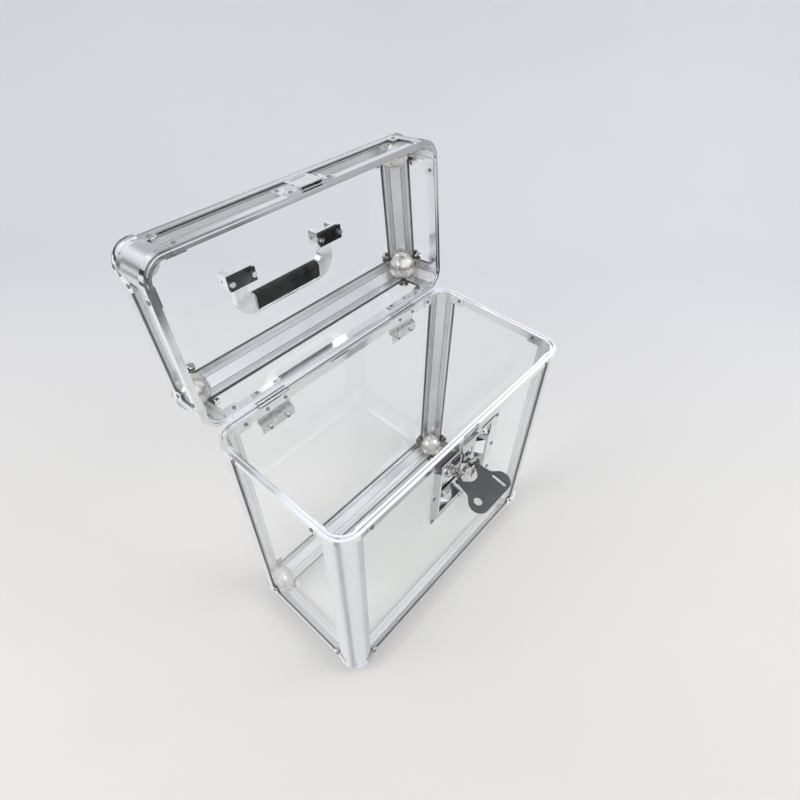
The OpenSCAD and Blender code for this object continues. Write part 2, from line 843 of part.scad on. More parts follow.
// Wing key, drawn flat with its length along -Y from the pivot
module wing_outline() {
  v = wing_l - lobe_r;
  u = wing_lobes / 2;
  difference() {
    union() {
      for (s = [-1, 1]) translate([s * u, -v]) circle(lobe_r);
      polygon([
        [-ear_out, -3], [ear_out, -3], [ear_out + 2.6, -v + 15],
        [u + lobe_r * 0.92, -v + lobe_r * 0.39], [u, -wing_l],
        [-u, -wing_l], [-u - lobe_r * 0.92, -v + lobe_r * 0.39], [-ear_out - 2.6, -v + 15]
      ]);
    }
    circle(12);
    translate([-ear_in, -5]) square([2 * ear_in, 10]);
    translate([-u, -v + 2]) circle(wing_hole_r);
    translate([u, -v + 1]) {
      square([wing_slot_w, wing_slot_l - wing_slot_w], center = true);
      for (s = [-1, 1]) translate([0, s * (wing_slot_l - wing_slot_w) / 2]) circle(wing_slot_w / 2);
    }
  }
}

module wing_key() {
  color([0.33, 0.33, 0.34]) translate([0, wing_y, hub_z]) rotate([wing_droop, 0, 0]) difference() {
    union() {
      translate([0, 0, -wing_t / 2]) linear_extrude(wing_t) wing_outline();
      for (s = [-1, 1]) {
        translate([s > 0 ? ear_in : -ear_out, 0, 0]) rotate([0, 90, 0])
          cylinder(r = 2.4, h = ear_out - ear_in);
        translate([s > 0 ? ear_in : -ear_out, -4, -wing_t / 2])
          cube([ear_out - ear_in, 4, wing_t]);
      }
    }
    translate([-30, 0, 0]) rotate([0, 90, 0]) cylinder(r = wing_pin_r + run_gap, h = 60);
  }
}

// Hook: a plate in front of the latch plate that steps back to the hub's disc
module latch_hook() {
  leg_y = dish_y - move_gap - 3 - 0.5;
  color([0.88, 0.89, 0.9]) difference() {
    union() {
      translate([-hook_w / 2, hook_y, hook_low]) cube([hook_w, hook_t, hook_top - hook_low]);
      translate([-hook_w / 2, hook_y, hook_low]) cube([hook_w, leg_y - hook_y, hook_t]);
      translate([-hook_w / 2, leg_y - hook_t, hook_low - 2.4]) cube([hook_w, hook_t, hook_t + 2.4]);
      translate([-hook_w / 2, hook_y - 1.6, hook_top - hook_t]) cube([hook_w, 2, hook_t]);
    }
    translate([0, hook_y - 1, hook_low + 17]) rotate([-90, 0, 0])
      linear_extrude(hook_t + 2) round_rect(hook_w - 10, 14, 2);
  }
}

// ---- the lid's pieces -----------------------------------------------------

module lid_front_panel() {
  color([0.9, 0.93, 0.94, 0.3]) difference() {
    in_lid() wall_x(-1, lid_h);
    opened() {
      at_keeper_high() rivet_bore(latch_grip);
      at_keeper_low() rivet_bore(keeper_low_grip);
    }
  }
}

module lid_back_panel() {
  color([0.9, 0.93, 0.94, 0.3]) difference() {
    in_lid() wall_x(1, lid_h);
    opened() hinge_bores();
  }
}

module lid_left_panel() color([0.9, 0.93, 0.94, 0.3]) in_lid() wall_y(-1, lid_h);
module lid_right_panel() color([0.9, 0.93, 0.94, 0.3]) in_lid() wall_y(1, lid_h);

module lid_top_panel() {
  color([0.9, 0.93, 0.94, 0.3]) in_lid() difference() {
    end_panel(lid_h);
    at_screws() translate([0, 0, -20]) cylinder(r = screw_r + rivet_play, h = 40);
  }
}

module lid_post_front_left() color([0.76, 0.77, 0.77]) in_lid() post(-1, -1, lid_h);
module lid_post_front_right() color([0.76, 0.77, 0.77]) in_lid() post(1, -1, lid_h);
module lid_post_back_left() color([0.76, 0.77, 0.77]) in_lid() post(-1, 1, lid_h);
module lid_post_back_right() color([0.76, 0.77, 0.77]) in_lid() post(1, 1, lid_h);

module lid_edge_front() color([0.76, 0.77, 0.77]) in_lid() edge_x(-1);
module lid_edge_back() color([0.76, 0.77, 0.77]) in_lid() edge_x(1);
module lid_edge_left() color([0.76, 0.77, 0.77]) in_lid() edge_y(-1);
module lid_edge_right() color([0.76, 0.77, 0.77]) in_lid() edge_y(1);

module lid_corner_caps() color([0.85, 0.86, 0.88]) in_lid() caps();
module lid_corner_balls() color([0.8, 0.78, 0.74]) in_lid() balls();

module lid_rim_front() {
  color([0.82, 0.83, 0.84]) difference() {
    in_lid() rim_x(-1, lid_h, true);
    opened() {
      hook_notch(2 * bridge_hw + 0.8, rim_out_h);
      at_keeper_low() rivet_bore(keeper_low_grip);
    }
  }
}

module lid_rim_back() {
  color([0.82, 0.83, 0.84]) difference() {
    in_lid() rim_x(1, lid_h, true);
    opened() {
      knuckle_notch();
      hinge_bores();
    }
  }
}

module lid_rim_left() color([0.82, 0.83, 0.84]) in_lid() rim_y(-1, lid_h, true);
module lid_rim_right() color([0.82, 0.83, 0.84]) in_lid() rim_y(1, lid_h, true);
module lid_rim_corners() color([0.87, 0.88, 0.9]) in_lid() rim_corners(lid_h, true);

module lid_rivets() {
  color([0.6, 0.6, 0.6]) {
    in_lid() tray_rivets(lid_h);
    opened() {
      at_back(hinge_rivets / 2, leaf_face, body_h + leaf_rivet_down) rivet(lid_grip);
      at_keeper_high() rivet(latch_grip);
      at_keeper_low() rivet(keeper_low_grip);
    }
  }
}

// Keeper: a riveted plate with a bridge that the hook rises into
module keeper() {
  color([0.82, 0.83, 0.85]) opened() difference() {
    union() {
      translate([-keeper_w / 2, plate_y, body_h + rim_out_h + 1])
        cube([keeper_w, keeper_t, keeper_top - rim_out_h - 1]);
      translate([-bridge_hw, front_y - bridge_out, body_h + 3])
        cube([2 * bridge_hw, plate_y - front_y + bridge_out + keeper_t, keeper_top - 6]);
      for (s = [-1, 1]) {
        translate([s > 0 ? bridge_hw + 3 : -keeper_w / 2, keeper_low_y, body_h + 3])
          cube([keeper_w / 2 - bridge_hw - 3, keeper_t, rim_out_h - 1]);
        translate([s > 0 ? bridge_hw + 3 : -keeper_w / 2, keeper_low_y, body_h + rim_out_h + 1])
          cube([keeper_w / 2 - bridge_hw - 3, plate_y - keeper_low_y + 0.5, keeper_t]);
      }
    }
    translate([-bridge_in, front_y - bridge_out + keeper_t, body_h])
      cube([2 * bridge_in, plate_y - front_y + bridge_out - keeper_t, keeper_top - 3 - keeper_t]);
    translate([-bridge_in - 3, plate_y - 0.01, body_h - 1])
      cube([2 * bridge_in + 6, 4, rim_out_h + 1.9]);
    translate([-10, front_y - bridge_out - 1, body_h + keeper_top - 9]) cube([20, 4, 2.5]);
    at_keeper_high() rivet_bore(latch_grip);
    at_keeper_low() rivet_bore(keeper_low_grip);
  }
}

// ---- handle ---------------------------------------------------------------

// Screws of the two brackets, along +Z into the lid from outside
module at_screws() {
  for (s = [-1, 1], t = [-1, 1])
    translate([handle_x + s * bracket_gap / 2 + t * screw_x, pivot_y0, 0]) children();
}

// Both arms of the handle
module at_arms() translate([handle_x, 0, 0]) both_x(bracket_gap / 2) children();

module bracket() {
  base = panel_out - 0.05;
  difference() {
    translate([-bracket_w / 2, -bracket_d / 2, -bracket_top])
      cube([bracket_w, bracket_d, bracket_top + base]);
    translate([-arm_w / 2 - move_gap, -bracket_d, -bracket_top - 1])
      cube([arm_w + 2 * move_gap, 2 * bracket_d, bracket_top + 1 - pivot_out + arm_t / 2 + 1.2]);
    translate([-bracket_w, 0, -pivot_out]) rotate([0, 90, 0])
      cylinder(r = handle_pin_r + run_gap, h = 2 * bracket_w);
    for (s = [-1, 1])
      translate([-s * bracket_w / 2, 0, -bracket_top])
        rotate([0, s * 35, 0]) translate([-6, -bracket_d, -12]) cube([12, 2 * bracket_d, 12]);
  }
}

module handle_brackets() {
  color([0.84, 0.85, 0.87]) in_lid() difference() {
    at_arms() translate([0, pivot_y0, 0]) bracket();
    at_screws() translate([0, 0, -1.6]) cylinder(r = screw_r + rivet_play, h = 10);
  }
}

module handle_plates() {
  color([0.12, 0.12, 0.13]) in_lid() difference() {
    at_arms() translate([-bracket_w / 2, pivot_y0 - 8, panel_back + 0.05])
      cube([bracket_w, 16, 1.2]);
    at_screws() translate([0, 0, -20]) cylinder(r = screw_r + rivet_play, h = 40);
  }
}

module handle_screws() {
  color([0.85, 0.85, 0.86]) in_lid() at_screws() difference() {
    union() {
      translate([0, 0, -1.4]) cylinder(r = screw_r, h = panel_back + 3);
      translate([0, 0, panel_back + 1.3]) cylinder(r = 3.2, h = 2);
    }
    for (a = [0, 90]) rotate([0, 0, a])
      translate([-2, -0.4, panel_back + 2.4]) cube([4, 0.8, 2]);
  }
}

module handle_pins() {
  color([0.6, 0.6, 0.6]) in_lid() at_arms()
    translate([-bracket_w / 2 + 0.4, pivot_y0, -pivot_out]) rotate([0, 90, 0])
      cylinder(r = handle_pin_r, h = bracket_w - 0.8);
}

// A U filled in: half width w, bottom at -d, corner radius r, open at the top
module u_shape(w, d, r, top) {
  translate([-w, -d + r]) square([2 * w, d - r + top]);
  translate([-w + r, -d]) square([2 * (w - r), d + top]);
  for (s = [-1, 1]) intersection() {
    translate([s * (w - r), -d + r]) circle(r);
    translate([-w, -d]) square([2 * w, r]);
  }
}

// Bow of the handle, hanging from its pivots
module handle_frame() {
  w = bracket_gap / 2 + arm_w / 2;
  color([0.86, 0.87, 0.88]) translate([handle_x, pivot_y, pivot_z]) difference() {
    union() {
      translate([0, arm_t / 2, 0]) rotate([90, 0, 0]) linear_extrude(arm_t) difference() {
        u_shape(w, handle_drop, bend_r, 0);
        u_shape(w - arm_w, handle_drop - strip_t - grip_h, 10, 1);
        translate([-grip_l / 2 - 0.2, -handle_drop + strip_t]) square([grip_l + 0.4, handle_drop]);
      }
      both_x(bracket_gap / 2) translate([-arm_w / 2, 0, 0]) rotate([0, 90, 0])
        cylinder(r = arm_t / 2, h = arm_w);
    }
    translate([-w - 5, 0, 0]) rotate([0, 90, 0]) cylinder(r = handle_pin_r + run_gap, h = 2 * w + 10);
  }
}

module handle_grip() {
  z = -handle_drop + strip_t + grip_h / 2 + 0.1;
  color([0.09, 0.09, 0.1]) translate([handle_x - grip_l / 2, pivot_y, pivot_z + z]) rotate([90, 0, 90])
    linear_extrude(grip_l) round_rect(grip_t, grip_h, 4.5);
}

front_panel();
back_panel();
left_panel();
right_panel();
base_panel();
post_front_left();
post_front_right();
post_back_left();
post_back_right();
base_edge_front();
base_edge_back();
base_edge_left();
base_edge_right();
base_corner_caps();
base_corner_balls();
body_rim_front();
body_rim_back();
body_rim_left();
body_rim_right();
body_rim_corners();
body_rivets();
hinge_body_leaves();
hinge_pins();
latch_plate();
padlock_ring();
latch_hub();
wing_pin();
wing_key();
latch_hook();
lid_top_panel();
lid_front_panel();
lid_back_panel();
lid_left_panel();
lid_right_panel();
lid_post_front_left();
lid_post_front_right();
lid_post_back_left();
lid_post_back_right();
lid_edge_front();
lid_edge_back();
lid_edge_left();
lid_edge_right();
lid_corner_caps();
lid_corner_balls();
lid_rim_front();
lid_rim_back();
lid_rim_left();
lid_rim_right();
lid_rim_corners();
lid_rivets();
hinge_lid_leaves();
hinge_backing_plates();
keeper();
handle_brackets();
handle_plates();
handle_screws();
handle_pins();
handle_frame();
handle_grip();
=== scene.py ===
# %% [markdown]
# # A clear donation box in an aluminium frame
#
# The imported CAD model gives every piece its place and size, in metres. This
# lesson keeps that frame as it is, gives each piece the finish of the real
# one, and adds the small parts that make a case look made: gaskets along the
# extrusions with black bars that paint the shade in their die grooves, the
# pressed steps of the latch with painted shade at their feet and on their
# walls, rings on the hub and trim on the grip.

# %% Load the frame
import json
import math

import bmesh
import bpy
from mathutils import Matrix, Vector


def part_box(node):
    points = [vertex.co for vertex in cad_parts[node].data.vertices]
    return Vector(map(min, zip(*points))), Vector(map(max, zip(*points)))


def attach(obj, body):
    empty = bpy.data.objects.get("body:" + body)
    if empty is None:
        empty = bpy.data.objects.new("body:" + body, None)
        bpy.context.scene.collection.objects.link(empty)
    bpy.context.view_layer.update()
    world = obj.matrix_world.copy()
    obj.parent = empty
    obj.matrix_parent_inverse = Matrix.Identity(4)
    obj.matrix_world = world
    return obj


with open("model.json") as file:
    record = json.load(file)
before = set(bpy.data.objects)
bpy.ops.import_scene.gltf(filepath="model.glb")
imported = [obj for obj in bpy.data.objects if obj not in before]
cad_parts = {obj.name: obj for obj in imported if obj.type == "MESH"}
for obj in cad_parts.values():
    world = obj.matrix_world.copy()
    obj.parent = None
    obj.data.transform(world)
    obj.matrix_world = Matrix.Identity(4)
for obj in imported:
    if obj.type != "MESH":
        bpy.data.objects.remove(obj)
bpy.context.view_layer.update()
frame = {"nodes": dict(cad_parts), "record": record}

nodes = frame["nodes"]
scene = bpy.context.scene

# %% [markdown]
# ## The camera
#
# The box is seen from above its front left corner, from less than a metre
# away, with a wide lens. A camera is a place, a direction and a small roll.
# Its three axes are built from the viewing direction with cross products
# and put into one matrix, which is exact and easy to check.

# %% Camera
CAMERA_PLACE = Vector((-0.32047, -0.27374, 0.73440))
CAMERA_LOOK = Vector((0.5288, 0.4576, -0.7148)).normalized()
CAMERA_ROLL = math.radians(1.2)
FOCAL_PIXELS = 539.2
IMAGE_PIXELS = 800

level_right = CAMERA_LOOK.cross(Vector((0, 0, 1))).normalized()
level_up = level_right.cross(CAMERA_LOOK)
right = level_right * math.cos(CAMERA_ROLL) + level_up * math.sin(CAMERA_ROLL)
up = right.cross(CAMERA_LOOK)

camera_data = bpy.data.cameras.new("camera")
camera_data.sensor_width = 36.0
camera_data.lens = FOCAL_PIXELS / IMAGE_PIXELS * 36.0
camera_data.dof.use_dof = False
camera_data.clip_start, camera_data.clip_end = 0.01, 50.0
camera = bpy.data.objects.new("camera", camera_data)
scene.collection.objects.link(camera)
axes = Matrix((right, up, -CAMERA_LOOK)).transposed().to_4x4()
camera.matrix_world = Matrix.Translation(CAMERA_PLACE) @ axes
scene.camera = camera
print("lens %.2f mm, %.1f degrees below level" % (
    camera_data.lens, math.degrees(math.asin(-CAMERA_LOOK.z))))

# %% [markdown]
# ## Node helpers
#
# Every finish here is built from nodes, so that it has grain, wear and
# variation at the right size in millimetres. Object coordinates are metres
# in the box's own frame, so a noise scale of 100 has features of about a
# centimetre. A few short functions keep the materials readable.


# %% Node helpers
class Nodes:
    """A material's node tree with short calls for the nodes used most."""

    def __init__(self, name):
        self.material = bpy.data.materials.new(name)
        self.material.use_nodes = True
        self.tree = self.material.node_tree
        self.tree.nodes.clear()
        self.coords = self.add("ShaderNodeTexCoord")
        self.place = self.coords.outputs["Object"]

    def add(self, kind, **settings):
        node = self.tree.nodes.new(kind)
        for key, value in settings.items():
            setattr(node, key, value)
        return node

    def feed(self, socket, value):
        """Links a node's output to a socket, or sets the socket to a plain value."""
        if isinstance(value, bpy.types.NodeSocket):
            self.tree.links.new(value, socket)
        else:
            socket.default_value = value

    def feed_colour(self, socket, value):
        """The same for a colour, given as an output or as red, green and blue."""
        linked = isinstance(value, bpy.types.NodeSocket)
        self.feed(socket, value if linked else (*value, 1.0))

    def math(self, operation, a, b, clamp=False):
        node = self.add("ShaderNodeMath", operation=operation, use_clamp=clamp)
        self.feed(node.inputs[0], a)
        self.feed(node.inputs[1], b)
        return node.outputs[0]

    def scaled(self, scale, turn=(0, 0, 0)):
        node = self.add("ShaderNodeMapping")
        self.feed(node.inputs["Vector"], self.place)
        node.inputs["Scale"].default_value = scale
        node.inputs["Rotation"].default_value = turn
        return node.outputs[0]

    def noise(self, scale, detail, rough=0.55, vector=None):
        node = self.add("ShaderNodeTexNoise")
        self.feed(node.inputs["Vector"], vector or self.place)
        node.inputs["Scale"].default_value = scale
        node.inputs["Detail"].default_value = detail
        node.inputs["Roughness"].default_value = rough
        return node.outputs["Fac"]

    def span(self, value, low, high, to_low=0.0, to_high=1.0):
        """Stretches the range from low to high of a value onto another range."""
        node = self.add("ShaderNodeMapRange")
        node.inputs["From Min"].default_value = low
        node.inputs["From Max"].default_value = high
        node.inputs["To Min"].default_value = to_low
        node.inputs["To Max"].default_value = to_high
        self.feed(node.inputs["Value"], value)
        return node.outputs[0]

    def mix(self, share, a, b):
        node = self.add("ShaderNodeMix", data_type="RGBA")
        self.feed(node.inputs["Factor"], share)
        self.feed_colour(node.inputs["A"], a)
        self.feed_colour(node.inputs["B"], b)
        return node.outputs["Result"]

    def bump(self, height, distance, strength, under=None):
        node = self.add("ShaderNodeBump")
        node.inputs["Strength"].default_value = strength
        node.inputs["Distance"].default_value = distance
        self.feed(node.inputs["Height"], height)
        if under is not None:
            self.feed(node.inputs["Normal"], under)
        return node.outputs[0]

    def surface(self, colour, metal, rough, normal, shine=0.5):
        shader = self.add("ShaderNodeBsdfPrincipled")
        self.feed_colour(shader.inputs["Base Color"], colour)
        shader.inputs["Metallic"].default_value = metal
        self.feed(shader.inputs["Roughness"], rough)
        shader.inputs["Specular IOR Level"].default_value = shine
        self.feed(shader.inputs["Normal"], normal)
        return self.end(shader.outputs[0])

    def end(self, shader):
        out = self.add("ShaderNodeOutputMaterial")
        self.tree.links.new(shader, out.inputs["Surface"])
        return self.material


# %% [markdown]
# ## Floor and backdrop
#
# The box stands on a plain pale sweep: a floor that curves up into a wall
# well behind it, so that no line shows between them. The floor is creamy
# near the box and a cooler lilac grey on the wall. It is built as a strip
# of quads along a profile, turned to face the camera.

# %% Floor and backdrop
heading = Vector((CAMERA_LOOK.x, CAMERA_LOOK.y, 0)).normalized()
across = Vector((heading.y, -heading.x, 0))
SWEEP_START, SWEEP_RADIUS, SWEEP_TOP, SWEEP_HALF = 0.80, 0.45, 1.6, 3.0
CURVE_STEPS = 24

profile = [(-SWEEP_HALF, 0.0), (-1.0, 0.0), (0.0, 0.0), (SWEEP_START, 0.0)]
for i in range(1, CURVE_STEPS + 1):
    a = math.pi / 2 * i / CURVE_STEPS
    profile.append((SWEEP_START + SWEEP_RADIUS * math.sin(a),
                    SWEEP_RADIUS * (1 - math.cos(a))))
profile.append((SWEEP_START + SWEEP_RADIUS, SWEEP_TOP))
verts = [tuple(heading * d + across * s + Vector((0, 0, z)))
         for d, z in profile for s in (-SWEEP_HALF, SWEEP_HALF)]
faces = [(2 * i, 2 * i + 1, 2 * i + 3, 2 * i + 2) for i in range(len(profile) - 1)]
mesh = bpy.data.meshes.new("sweep")
mesh.from_pydata(verts, [], faces)
for polygon in mesh.polygons:
    polygon.use_smooth = True
sweep = bpy.data.objects.new("sweep", mesh)
scene.collection.objects.link(sweep)
sweep.visible_glossy = False

cloth = Nodes("sweep_cloth")
split = cloth.add("ShaderNodeSeparateXYZ")
cloth.feed(split.inputs[0], cloth.place)
depth = cloth.math("ADD", cloth.math("MULTIPLY", split.outputs[0], heading.x),
                   cloth.math("MULTIPLY", split.outputs[1], heading.y))
far = cloth.span(depth, 0.05, 0.75)
soft = cloth.noise(1.6, 3.0, 0.5)
near_colour = cloth.mix(soft, (0.80, 0.785, 0.76), (0.84, 0.825, 0.80))
far_colour = cloth.mix(soft, (0.72, 0.725, 0.765), (0.78, 0.785, 0.82))
cloth_colour = cloth.mix(far, near_colour, far_colour)
folds = cloth.bump(cloth.noise(9.0, 3.0), 0.003, 0.25)
grain = cloth.bump(cloth.noise(900.0, 2.0), 0.0002, 0.15, folds)
sweep.data.materials.append(cloth.surface(cloth_colour, 0.0, 0.8, grain))
print("sweep faces:", len(faces))

# %% [markdown]
# ## Lamps and the room
#
# Two large soft boxes and a gentle sky light the box. Polished metal shows
# the room rather than its own colour, so the room matters as much as the
# lamps: bright above, with a dim band and a few dark gaps lower down,
# which give the chrome its black and silver streaks. Only mirror
# reflections see that room. The plain sky gives the soft light, and what
# is seen past the sweep or through the panels is an even pale grey.


# %% Lamps
LAMP_SIZE, LAMP_WATTS, LAMP_TARGET = 1.1, 12, Vector((0, 0, 0.2))


def soft_box(name, place):
    data = bpy.data.lights.new(name, "AREA")
    data.shape = "RECTANGLE"
    data.size, data.size_y, data.energy = LAMP_SIZE, LAMP_SIZE, LAMP_WATTS
    lamp = bpy.data.objects.new(name, data)
    lamp.location = place
    lamp.rotation_euler = (LAMP_TARGET - Vector(place)).to_track_quat("-Z", "Y").to_euler()
    lamp.visible_glossy = False
    scene.collection.objects.link(lamp)


soft_box("soft_box_left", (-1.5, 0.5, 1.7))
soft_box("soft_box_right", (1.0, -1.3, 1.8))


# %% Room
world = bpy.data.worlds.new("room")
scene.world = world
world.use_nodes = True
tree = world.node_tree
tree.nodes.clear()


def world_node(kind, **settings):
    node = tree.nodes.new(kind)
    for key, value in settings.items():
        setattr(node, key, value)
    return node


def world_feed(socket, value):
    if isinstance(value, bpy.types.NodeSocket):
        tree.links.new(value, socket)
    else:
        socket.default_value = value


def world_math(operation, *values):
    node = world_node("ShaderNodeMath", operation=operation)
    for socket, value in zip(node.inputs, values):
        world_feed(socket, value)
    return node.outputs[0]


def world_ramp(value, stops):
    """Grey levels along a value, from pairs of a position and a level."""
    ramp = world_node("ShaderNodeValToRGB")
    world_feed(ramp.inputs[0], value)
    stop_list = ramp.color_ramp.elements
    while len(stop_list) < len(stops):
        stop_list.new(0.5)
    for stop, (position, level) in zip(stop_list, stops):
        stop.position, stop.color = position, (level, level, level, 1)
    return ramp.outputs[0]


def world_mix(a, b, share=1.0, blend="MIX"):
    node = world_node("ShaderNodeMix", data_type="RGBA", blend_type=blend)
    for name, value in (("Factor", share), ("A", a), ("B", b)):
        world_feed(node.inputs[name], value)
    return node.outputs["Result"]


def world_light(colour, strength=1.0):
    node = world_node("ShaderNodeBackground")
    world_feed(node.inputs["Color"], colour)
    node.inputs["Strength"].default_value = strength
    return node.outputs[0]


def world_pick(share, first, second):
    node = world_node("ShaderNodeMixShader")
    for socket, value in zip(node.inputs, (share, first, second)):
        world_feed(socket, value)
    return node.outputs[0]


direction = world_node("ShaderNodeTexCoord").outputs["Generated"]
split = world_node("ShaderNodeSeparateXYZ")
world_feed(split.inputs[0], direction)
to_right, to_back, to_top = split.outputs
streaks = world_node("ShaderNodeTexNoise")
streaks.inputs["Scale"].default_value = 1.7
streaks.inputs["Detail"].default_value = 1.0
world_feed(streaks.inputs["Vector"], direction)
tilt = world_math("MULTIPLY_ADD", streaks.outputs["Fac"], 0.5, -0.25)
level = world_math("MULTIPLY_ADD", world_math("ADD", to_top, tilt), 0.5, 0.5)
bands = world_ramp(level, (
    (0.0, 0.80), (0.10, 0.95), (0.26, 0.95), (0.28, 0.08), (0.315, 0.06),
    (0.335, 0.90), (0.42, 1.0), (0.445, 0.05), (0.52, 0.04), (0.545, 0.75),
    (0.70, 0.95), (0.76, 1.35), (1.0, 1.1)))
around = world_math("ARCTAN2", to_back, to_right)
posts = world_math("SINE", world_math("MULTIPLY_ADD", around, 3.0, 0.6))
dim = world_ramp(world_math("MULTIPLY_ADD", posts, 0.5, 0.5),
                 ((0.0, 0.50), (0.10, 0.68), (0.2, 1.0), (1.0, 1.0)))
warm_to_cool = world_mix((0.99, 0.99, 0.985, 1), (0.955, 0.975, 1.02, 1),
                         world_math("MULTIPLY_ADD", to_top, 1.6, 0.7))
room_grey = world_mix(bands, dim, blend="MULTIPLY")
room_colour = world_mix(room_grey, warm_to_cool, blend="MULTIPLY")

sky = world_light((0.98, 0.99, 1.0, 1), 0.72)
mirror_room = world_light(room_colour)
backing = world_light((0.80, 0.80, 0.83, 1))
rays = world_node("ShaderNodeLightPath").outputs
# rays through the clear panels count as glossy too, so they are taken out
mirrored_rays = world_math("SUBTRACT", rays["Is Glossy Ray"], rays["Is Transmission Ray"])
seen_rays = world_math("MAXIMUM", rays["Is Camera Ray"], rays["Is Transmission Ray"])
lit_or_mirrored = world_pick(mirrored_rays, sky, mirror_room)
world_out = world_node("ShaderNodeOutputWorld")
world_feed(world_out.inputs[0], world_pick(seen_rays, lit_or_mirrored, backing))
scene.view_settings.view_transform = "Standard"
print("room nodes:", len(tree.nodes))

# %% [markdown]
# ## Clear acrylic
#
# The panels are 3 mm of cast acrylic: almost invisible face on, with a
# thin mirror of the room at a slant and pale edges. Glass that bends light
# gives all of that for free. Lamps are let through by a clear stand-in for
# shadow rays, because real acrylic hardly darkens the floor. Faint smears
# in the roughness keep it from looking like nothing at all. Cast acrylic
# has an index of 1.49, but a lower one is used here, because the veil of
# the bright room would otherwise grey what is seen through the panels.

# %% Acrylic
ACRYLIC_INDEX = 1.22


def make_acrylic():
    n = Nodes("clear_acrylic")
    smears = n.noise(14.0, 4.0, 0.6, n.scaled((1.0, 1.0, 0.35)))
    hairlines = n.noise(60.0, 2.0, 0.5, n.scaled((9.0, 9.0, 0.6), (0.3, 0.5, 0.2)))
    rough = n.math("ADD", n.span(smears, 0.45, 0.75, 0.0, 0.008),
                   n.span(hairlines, 0.66, 0.74, 0.0, 0.006))
    shader = n.add("ShaderNodeBsdfPrincipled")
    shader.inputs["Base Color"].default_value = (0.985, 0.995, 0.995, 1)
    shader.inputs["Transmission Weight"].default_value = 1.0
    shader.inputs["IOR"].default_value = ACRYLIC_INDEX
    n.feed(shader.inputs["Roughness"], rough)
    clear = n.add("ShaderNodeBsdfTransparent")
    clear.inputs["Color"].default_value = (0.97, 0.975, 0.975, 1)
    path = n.add("ShaderNodeLightPath")
    both = n.add("ShaderNodeMixShader")
    n.feed(both.inputs[0], path.outputs["Is Shadow Ray"])
    n.feed(both.inputs[1], shader.outputs[0])
    n.feed(both.inputs[2], clear.outputs[0])
    return n.end(both.outputs[0])


acrylic = make_acrylic()
print("acrylic index:", ACRYLIC_INDEX)

# %% [markdown]
# ## Aluminium extrusions
#
# The posts and edges are satin anodised extrusions. An extrusion carries
# faint die lines along its whole length, so the noise is squeezed across
# the piece and stretched along it. One material is made for each of the
# three directions, because the lines always follow the piece.

# %% Extruded aluminium
LONG_STRETCH = {"x": (0.004, 1.0, 1.0), "y": (1.0, 0.004, 1.0), "z": (1.0, 1.0, 0.004)}
SATIN_COLOUR, SATIN_ROUGH, SATIN_LINES = (0.84, 0.85, 0.868), 0.29, 0.000007
BRIGHT_COLOUR, BRIGHT_ROUGH, BRIGHT_LINES = (0.86, 0.87, 0.89), 0.13, 0.000015


def make_extruded(name, along, colour, rough, line_depth):
    n = Nodes(name)
    stretched = n.scaled(LONG_STRETCH[along])
    fine = n.noise(1500.0, 2.0, 0.5, stretched)
    broad = n.noise(220.0, 2.0, 0.5, stretched)
    cloudy = n.noise(18.0, 3.0, 0.5)
    tone = n.math("ADD", n.span(broad, 0.3, 0.7, -0.06, 0.04),
                  n.span(fine, 0.3, 0.7, -0.02, 0.02))
    lightness = n.math("ADD", n.span(cloudy, 0.3, 0.7, 0.65, 0.95), tone, clamp=True)
    darker = tuple(c * 0.84 for c in colour)
    roughness = n.math("ADD", n.span(cloudy, 0.3, 0.7, rough - 0.03, rough + 0.03),
                       n.span(fine, 0.3, 0.7, -0.02, 0.03))
    lines = n.bump(broad, line_depth, 0.3)
    return n.surface(n.mix(lightness, darker, colour), 1.0, roughness, lines)


satin = {a: make_extruded("satin_aluminium_" + a, a, SATIN_COLOUR, SATIN_ROUGH, SATIN_LINES)
         for a in "xyz"}
bright = {a: make_extruded("bright_aluminium_" + a, a, BRIGHT_COLOUR, BRIGHT_ROUGH,
                           BRIGHT_LINES) for a in "xyz"}
print("extruded finishes:", len(satin) + len(bright))

# %% [markdown]
# ## Plated steel and chrome
#
# The corner caps, rim corners, latch and handle are plated pressings. They
# share a recipe: a metal with low roughness, fine scratches in all
# directions, soft fingerprints that dull it in patches, and a slow ripple
# from the press tool. Only the tint, the gloss and the ripple differ.


# %% Plated metal
def make_plated(name, colour, rough, ripple, scratch=0.08, tint=None, brushed=None):
    n = Nodes(name)
    prints = n.noise(55.0, 5.0, 0.65)
    fine = n.noise(1500.0, 2.0, 0.5, n.scaled((1.0, 0.2, 0.6), (0.4, 0.9, 0.3)))
    cross = n.noise(900.0, 2.0, 0.5, n.scaled((0.08, 1.0, 0.5), (0.8, 0.1, 0.9)))
    scratches = n.math("MAXIMUM", n.span(fine, 0.66, 0.74), n.span(cross, 0.68, 0.76))
    roughness = n.math("ADD", n.span(prints, 0.35, 0.75, rough, rough + 0.10),
                       n.math("MULTIPLY", scratches, scratch))
    dull = tint or tuple(c * 0.82 for c in colour)
    shade = n.mix(n.span(prints, 0.3, 0.75), colour, dull)
    bumps = n.bump(n.noise(70.0, 2.0), ripple, 0.5)
    if brushed:
        lines = n.noise(1800.0, 2.0, 0.5, n.scaled(brushed))
        bumps = n.bump(lines, 0.00004, 0.4, bumps)
    return n.surface(shade, 1.0, roughness, bumps)


